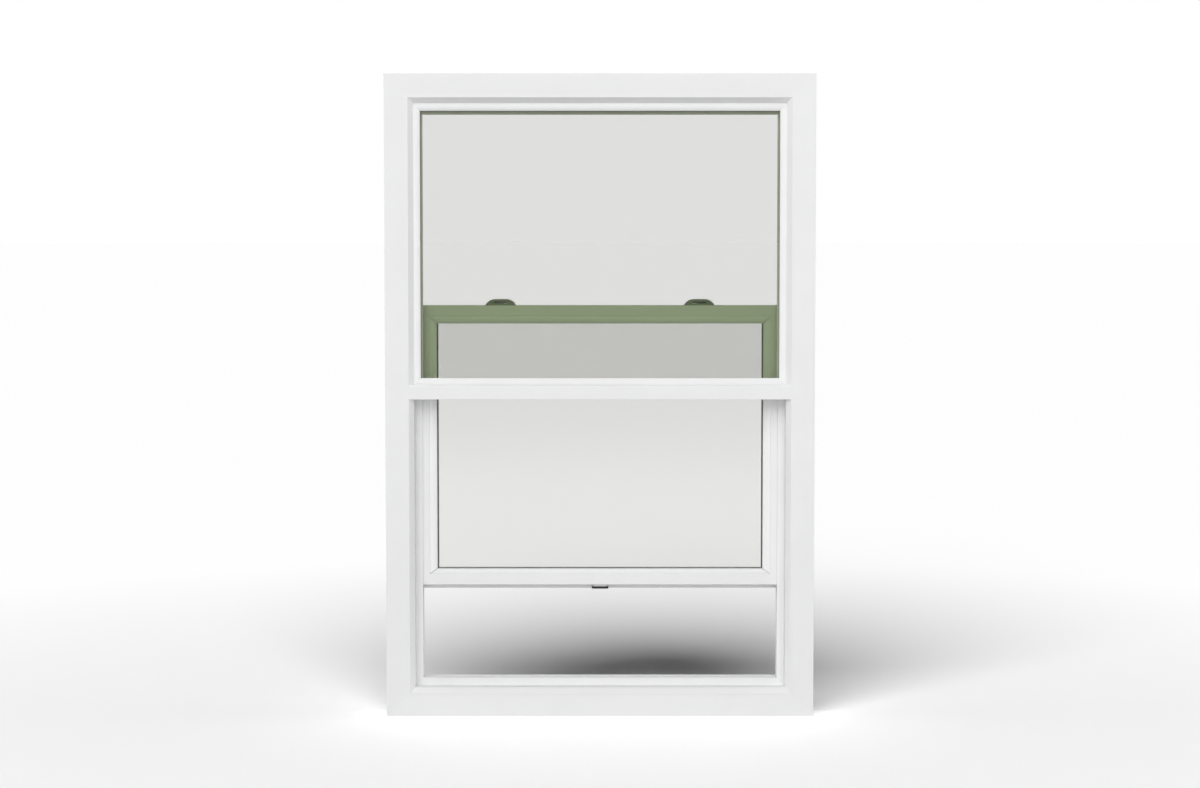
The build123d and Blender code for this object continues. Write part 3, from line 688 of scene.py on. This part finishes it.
def twist_rod(node, tree, hand):
    """Smooth spiral rod in place of a node's faceted one."""
    low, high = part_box(node)
    length = high.z - low.z
    foot = Vector(((low.x + high.x) / 2, (low.y + high.y) / 2, low.z))
    sizes = {
        "Width": rod_width, "Thickness": rod_thickness, "Length": length, "Pitch": rod_pitch,
        "Hand": float(hand), "Foot": foot.z, "Rings": round(length / rod_pitch * rod_rings_per_turn),
    }
    spots = spot_mesh(f"{node}_foot", [(foot, (0, 0, 1))])
    rod = grown(f"{node}_finish", tree, spots, sizes, plated_steel)
    stand_for(rod, node)


def brush_pile(node, tree, way):
    """Brushed pile with a fin, in place of a node's plain strips. The fibres stand along the given Y way."""
    plain = clean_copy(node)
    shape = bmesh.new()
    for points in islands(plain):
        low, high = corners(points)
        length = high.y - low.y - pile_backing
        base, tip = (low.y, high.y) if way > 0 else (high.y, low.y)
        root = base + way * pile_backing
        top = tip - way * pile_fin_drop
        add_box(shape, Vector((low.x, min(base, root), low.z)), Vector((high.x, max(base, root), high.z)))
        fin_low = Vector((low.x, min(root, top), low.z))
        fin_high = Vector((high.x, max(root, top), high.z))
        thin = 0 if high.x - low.x < high.z - low.z else 2
        middle = (low[thin] + high[thin]) / 2
        fin_low[thin] = middle - pile_fin / 2
        fin_high[thin] = middle + pile_fin / 2
        add_box(shape, fin_low, fin_high)
    plain.free()
    mark = shape.faces.layers.float.new("root")
    shape.normal_update()
    wide = max(face.calc_area() for face in shape.faces if face.normal.y * way > facing)
    for face in shape.faces:
        face[mark] = 1.0 if face.normal.y * way > facing and face.calc_area() > wide / 2 else 0.0
    sizes = {"Length": length, "Radius": fibre_radius, "Density": fibres_per_area, "Seed": fibre_seed}
    pile = grown(f"{node}_finish", tree, mesh_of(shape, f"{node}_strips"), sizes, grey_pile)
    stand_for(pile, node)


def pierce_spacer(node, tree):
    """Row of breather holes, as dark plugs of painted shade, along the inner faces of a spacer bar."""
    low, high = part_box(node)
    centre = (low + high) / 2
    shape = clean_copy(node)
    spots = []
    for face in shape.faces:
        middle = face.calc_center_median()
        if abs(face.normal.y) > spacer_lean or face.normal.dot(centre - middle) < 0:
            continue
        low, high = corners([point.co for point in face.verts])
        along = 0 if high.x - low.x > high.z - low.z else 2
        count = int((high[along] - low[along]) / breather_pitch)
        for number in range(1, count):
            spot = middle.copy()
            spot[along] = low[along] + (high[along] - low[along]) * number / count
            spots.append((spot, face.normal.copy()))
    shape.free()
    sizes = {"Radius": breather_radius, "Depth": breather_depth, "Lift": breather_lift}
    holes = grown(f"{node}_holes", tree, spot_mesh(f"{node}_spots", spots), sizes, black_rubber)
    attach(holes, body_of(node))


def cover_slot(side):
    """Plate that keeps light from showing through a lock housing's cam slot."""
    housing = f"{side}_lock_housing"
    low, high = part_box(housing)
    middle, back = (low.x + high.x) / 2, high.y - slot_cover_inset
    left, right = middle - slot_cover_length / 2, middle + slot_cover_length / 2
    shape = bmesh.new()
    add_box(
        shape,
        Vector((left, back - slot_cover_thickness, low.z + slot_cover_low)),
        Vector((right, back, low.z + slot_cover_high)),
    )
    mesh = mesh_of(shape, f"{side}_slot_cover")
    mesh.materials.append(lock_paint)
    cover = link(mesh, f"{side}_slot_cover")
    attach(cover, body_of(housing))


# Vinyl: welded frame, meeting rail, welded sash and the beads that hold the glass
for node in ("left_jamb", "right_jamb"):
    softened(node, frame_edge, vinyl_upright)
for node in ("head", "sill", "meeting_rail", "sill_insert"):
    softened(node, frame_edge, vinyl_level)
for node in ("left_stile", "right_stile"):
    softened(node, sash_edge, vinyl_upright)
for node in ("top_rail", "bottom_rail", "bumper_carrier"):
    softened(node, sash_edge, vinyl_level)
# Side and top beads take the lighter bead tone, painted light against the shade of their recess; the bottom
# beads face the light and keep the frame's tone
for side in ("left", "right", "top", "bottom"):
    material = {"top": bead_painted_light_level, "bottom": vinyl_level}.get(side, bead_painted_light_upright)
    edge = bead_foot_edge if side == "bottom" else bead_edge
    softened(f"upper_bead_{side}", edge, material, jointed=True)
    softened(f"sash_bead_{side}", bead_edge, material, jointed=True, gap=bead_joint_gap)

# Glass and what lies around it
for lite, glass, spacer in (
    ("upper", upper_glass, upper_spacer_bar_painted_light),
    ("sash", sash_glass, sash_spacer_bar),
):
    dress(f"{lite}_outer_pane", glass)
    dress(f"{lite}_inner_pane", glass)
    dress(f"{lite}_spacer", spacer)
    dress(f"{lite}_edge_seal", black_rubber)
    dress(f"{lite}_glazing_tape", grey_rubber)
    dress(f"{lite}_setting_blocks", grey_rubber)

# Locks with their keepers, and balances
for side in ("left", "right"):
    for part in ("lock_housing", "lock_lever", "lock_cam", "keeper"):
        softened(f"{side}_{part}", hardware_edge, lock_paint)
    cover_slot(side)
    dress(f"{side}_balance_tube", tube_paint)
    dress(f"{side}_balance_cap", grey_nylon)
    dress(f"{side}_balance_bushing", grey_nylon)
    dress(f"{side}_balance_shoe", grey_nylon)

# Screws and spiral rods
screw = screw_tree()
for node in ("keeper_screws", "lock_screws", "cap_screws", "shoe_screws"):
    turn_screws(node, screw, lock_paint if node == "lock_screws" else plated_steel)
rod = rod_tree()
twist_rod("left_spiral_rod", rod, -1)
twist_rod("right_spiral_rod", rod, 1)

# Seals, stops and breather holes
dress("travel_stops", grey_nylon)
pile = pile_tree()
brush_pile("meeting_rail_pile", pile, 1)
brush_pile("stile_piles", pile, -1)
breather = breather_tree()
pierce_spacer("upper_spacer", breather)
pierce_spacer("sash_spacer", breather)
dress("bumper", black_rubber)
dress("bottom_seal", white_rubber)


# Floor, light and camera
def white_floor():
    """Floor that is plain white to the eye and keeps the window's shadow, with painted shade that makes it
    darker to the eye near the window.
    """
    made, tree = blank_material("white_floor")
    rays = add(tree, "LightPath").outputs
    seen = math_node(tree, "MAXIMUM", rays["Is Camera Ray"], rays["Is Glossy Ray"])
    seen = math_node(tree, "MAXIMUM", seen, rays["Is Transmission Ray"])
    away = add(tree, "VectorMath", {0: object_place(tree)}, operation="LENGTH").outputs["Value"]
    plain = ranged(tree, away, floor_near, floor_far, floor_near_tone, floor_far_tone)
    # Painted shade: to the eye the floor is darker near the window
    white = ranged(tree, away, floor_near, floor_far, floor_near_painted_shade_white, floor_far_white)
    tone = ranged(tree, seen, 0, 1, plain, white)
    surface(tree, add(tree, "BsdfDiffuse", {"Color": tone}))
    return made


def build_floor():
    shape = bmesh.new()
    bmesh.ops.create_circle(shape, cap_ends=True, segments=floor_sides, radius=floor_reach)
    mesh = mesh_of(shape, "floor")
    mesh.materials.append(white_floor())
    floor = link(mesh, "floor")
    return floor


def build_sky():
    """Sky that is plain white to the eye and dimmer in reflections. It leaves the light to the lamps."""
    sky = bpy.data.worlds.new("studio_sky")
    sky.use_nodes = True
    tree = sky.node_tree
    tree.nodes.clear()
    rays = add(tree, "LightPath").outputs
    seen = math_node(tree, "MAXIMUM", rays["Is Camera Ray"], rays["Is Transmission Ray"])
    mirrored = math_node(tree, "MULTIPLY", rays["Is Glossy Ray"], sky_reflected)
    level = math_node(tree, "MAXIMUM", seen, mirrored)
    light = add(tree, "Background", {"Color": (1, 1, 1, 1), "Strength": level})
    output = add(tree, "OutputWorld")
    tree.links.new(light.outputs[0], output.inputs["Surface"])
    scene.world = sky


def build_lamp(name, level, way, spread):
    """Broad soft lamp, far off along the given way."""
    lamp = bpy.data.lights.new(name, "SUN")
    lamp.energy = level
    lamp.angle = spread
    made = bpy.data.objects.new(name, lamp)
    made.rotation_euler = way.to_track_quat("Z", "Y").to_euler()
    made.visible_glossy = False
    made.visible_transmission = False
    scene.collection.objects.link(made)
    return made


def build_fills(floor):
    """Fill lamps that leave the floor to the key. The one from below also shines through it."""
    spared = bpy.data.collections.new("fill_spares")
    spared.objects.link(floor)
    spared.collection_objects[0].light_linking.link_state = "EXCLUDE"
    for name, level, way in (
        ("front_fill", front_fill_level, front_fill_way),
        ("left_fill", left_fill_level, left_fill_way),
        ("right_fill", right_fill_level, right_fill_way),
        ("back_fill", back_fill_level, back_fill_way),
        ("under_fill", under_fill_level, under_fill_way),
    ):
        lamp = build_lamp(name, level, way, fill_spread)
        lamp.light_linking.receiver_collection = spared
        if name == "under_fill":
            lamp.light_linking.blocker_collection = spared


def build_camera():
    lens = bpy.data.cameras.new("photo_view")
    lens.sensor_fit = "HORIZONTAL"
    lens.sensor_width = sensor_width
    lens.lens = camera_lens
    lens.clip_end = 2 * floor_reach
    made = bpy.data.objects.new("photo_view", lens)
    made.location = camera_place
    made.rotation_euler = (math.pi / 2 + camera_pitch, 0, 0)
    scene.collection.objects.link(made)
    scene.camera = made


floor = build_floor()
build_sky()
build_lamp("key", key_level, key_way, key_spread)
build_fills(floor)
build_camera()
